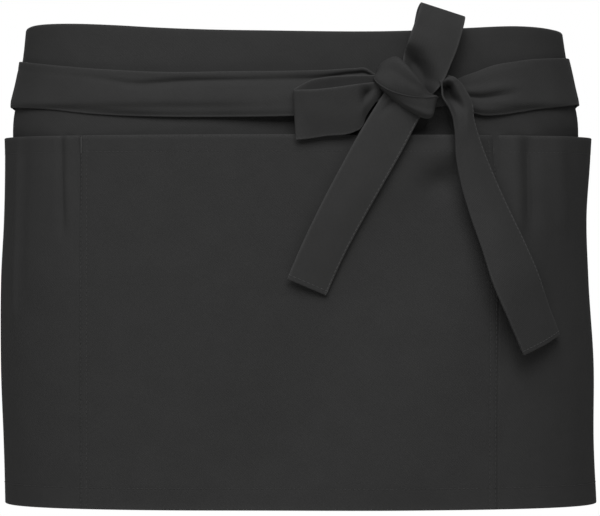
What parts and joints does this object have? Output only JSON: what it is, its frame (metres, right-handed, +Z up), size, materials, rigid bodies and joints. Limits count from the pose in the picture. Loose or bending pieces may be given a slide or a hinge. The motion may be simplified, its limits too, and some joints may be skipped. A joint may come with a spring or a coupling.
{
  "type": "waist apron",
  "caption": "Waist apron with a folded band, open pockets across the front and two flat ties that cross behind and meet in a bow.",
  "frame": {"origin": "middle of the waist hollow, at the height of the ties' mid-line", "axes": "+X to the viewer's right as the front is seen, +Y to the back, +Z up"},
  "size_m": [0.3867, 0.2538, 0.3185],
  "materials": {
    "panel_twill": "matt woven twill",
    "pocket_twill": "matt woven twill",
    "tie_twill": "matt woven twill"
  },
  "bodies": {
    "root": {"apron_panel": "panel_twill", "waistband": "panel_twill", "pocket_panel": "pocket_twill", "tie_left": "tie_twill", "tie_right": "tie_twill", "bow_knot": "tie_twill", "bow_loop_left": "tie_twill", "bow_loop_upper": "tie_twill", "tail_left": "tie_twill", "tail_right": "tie_twill"}
  },
  "joints": []
}
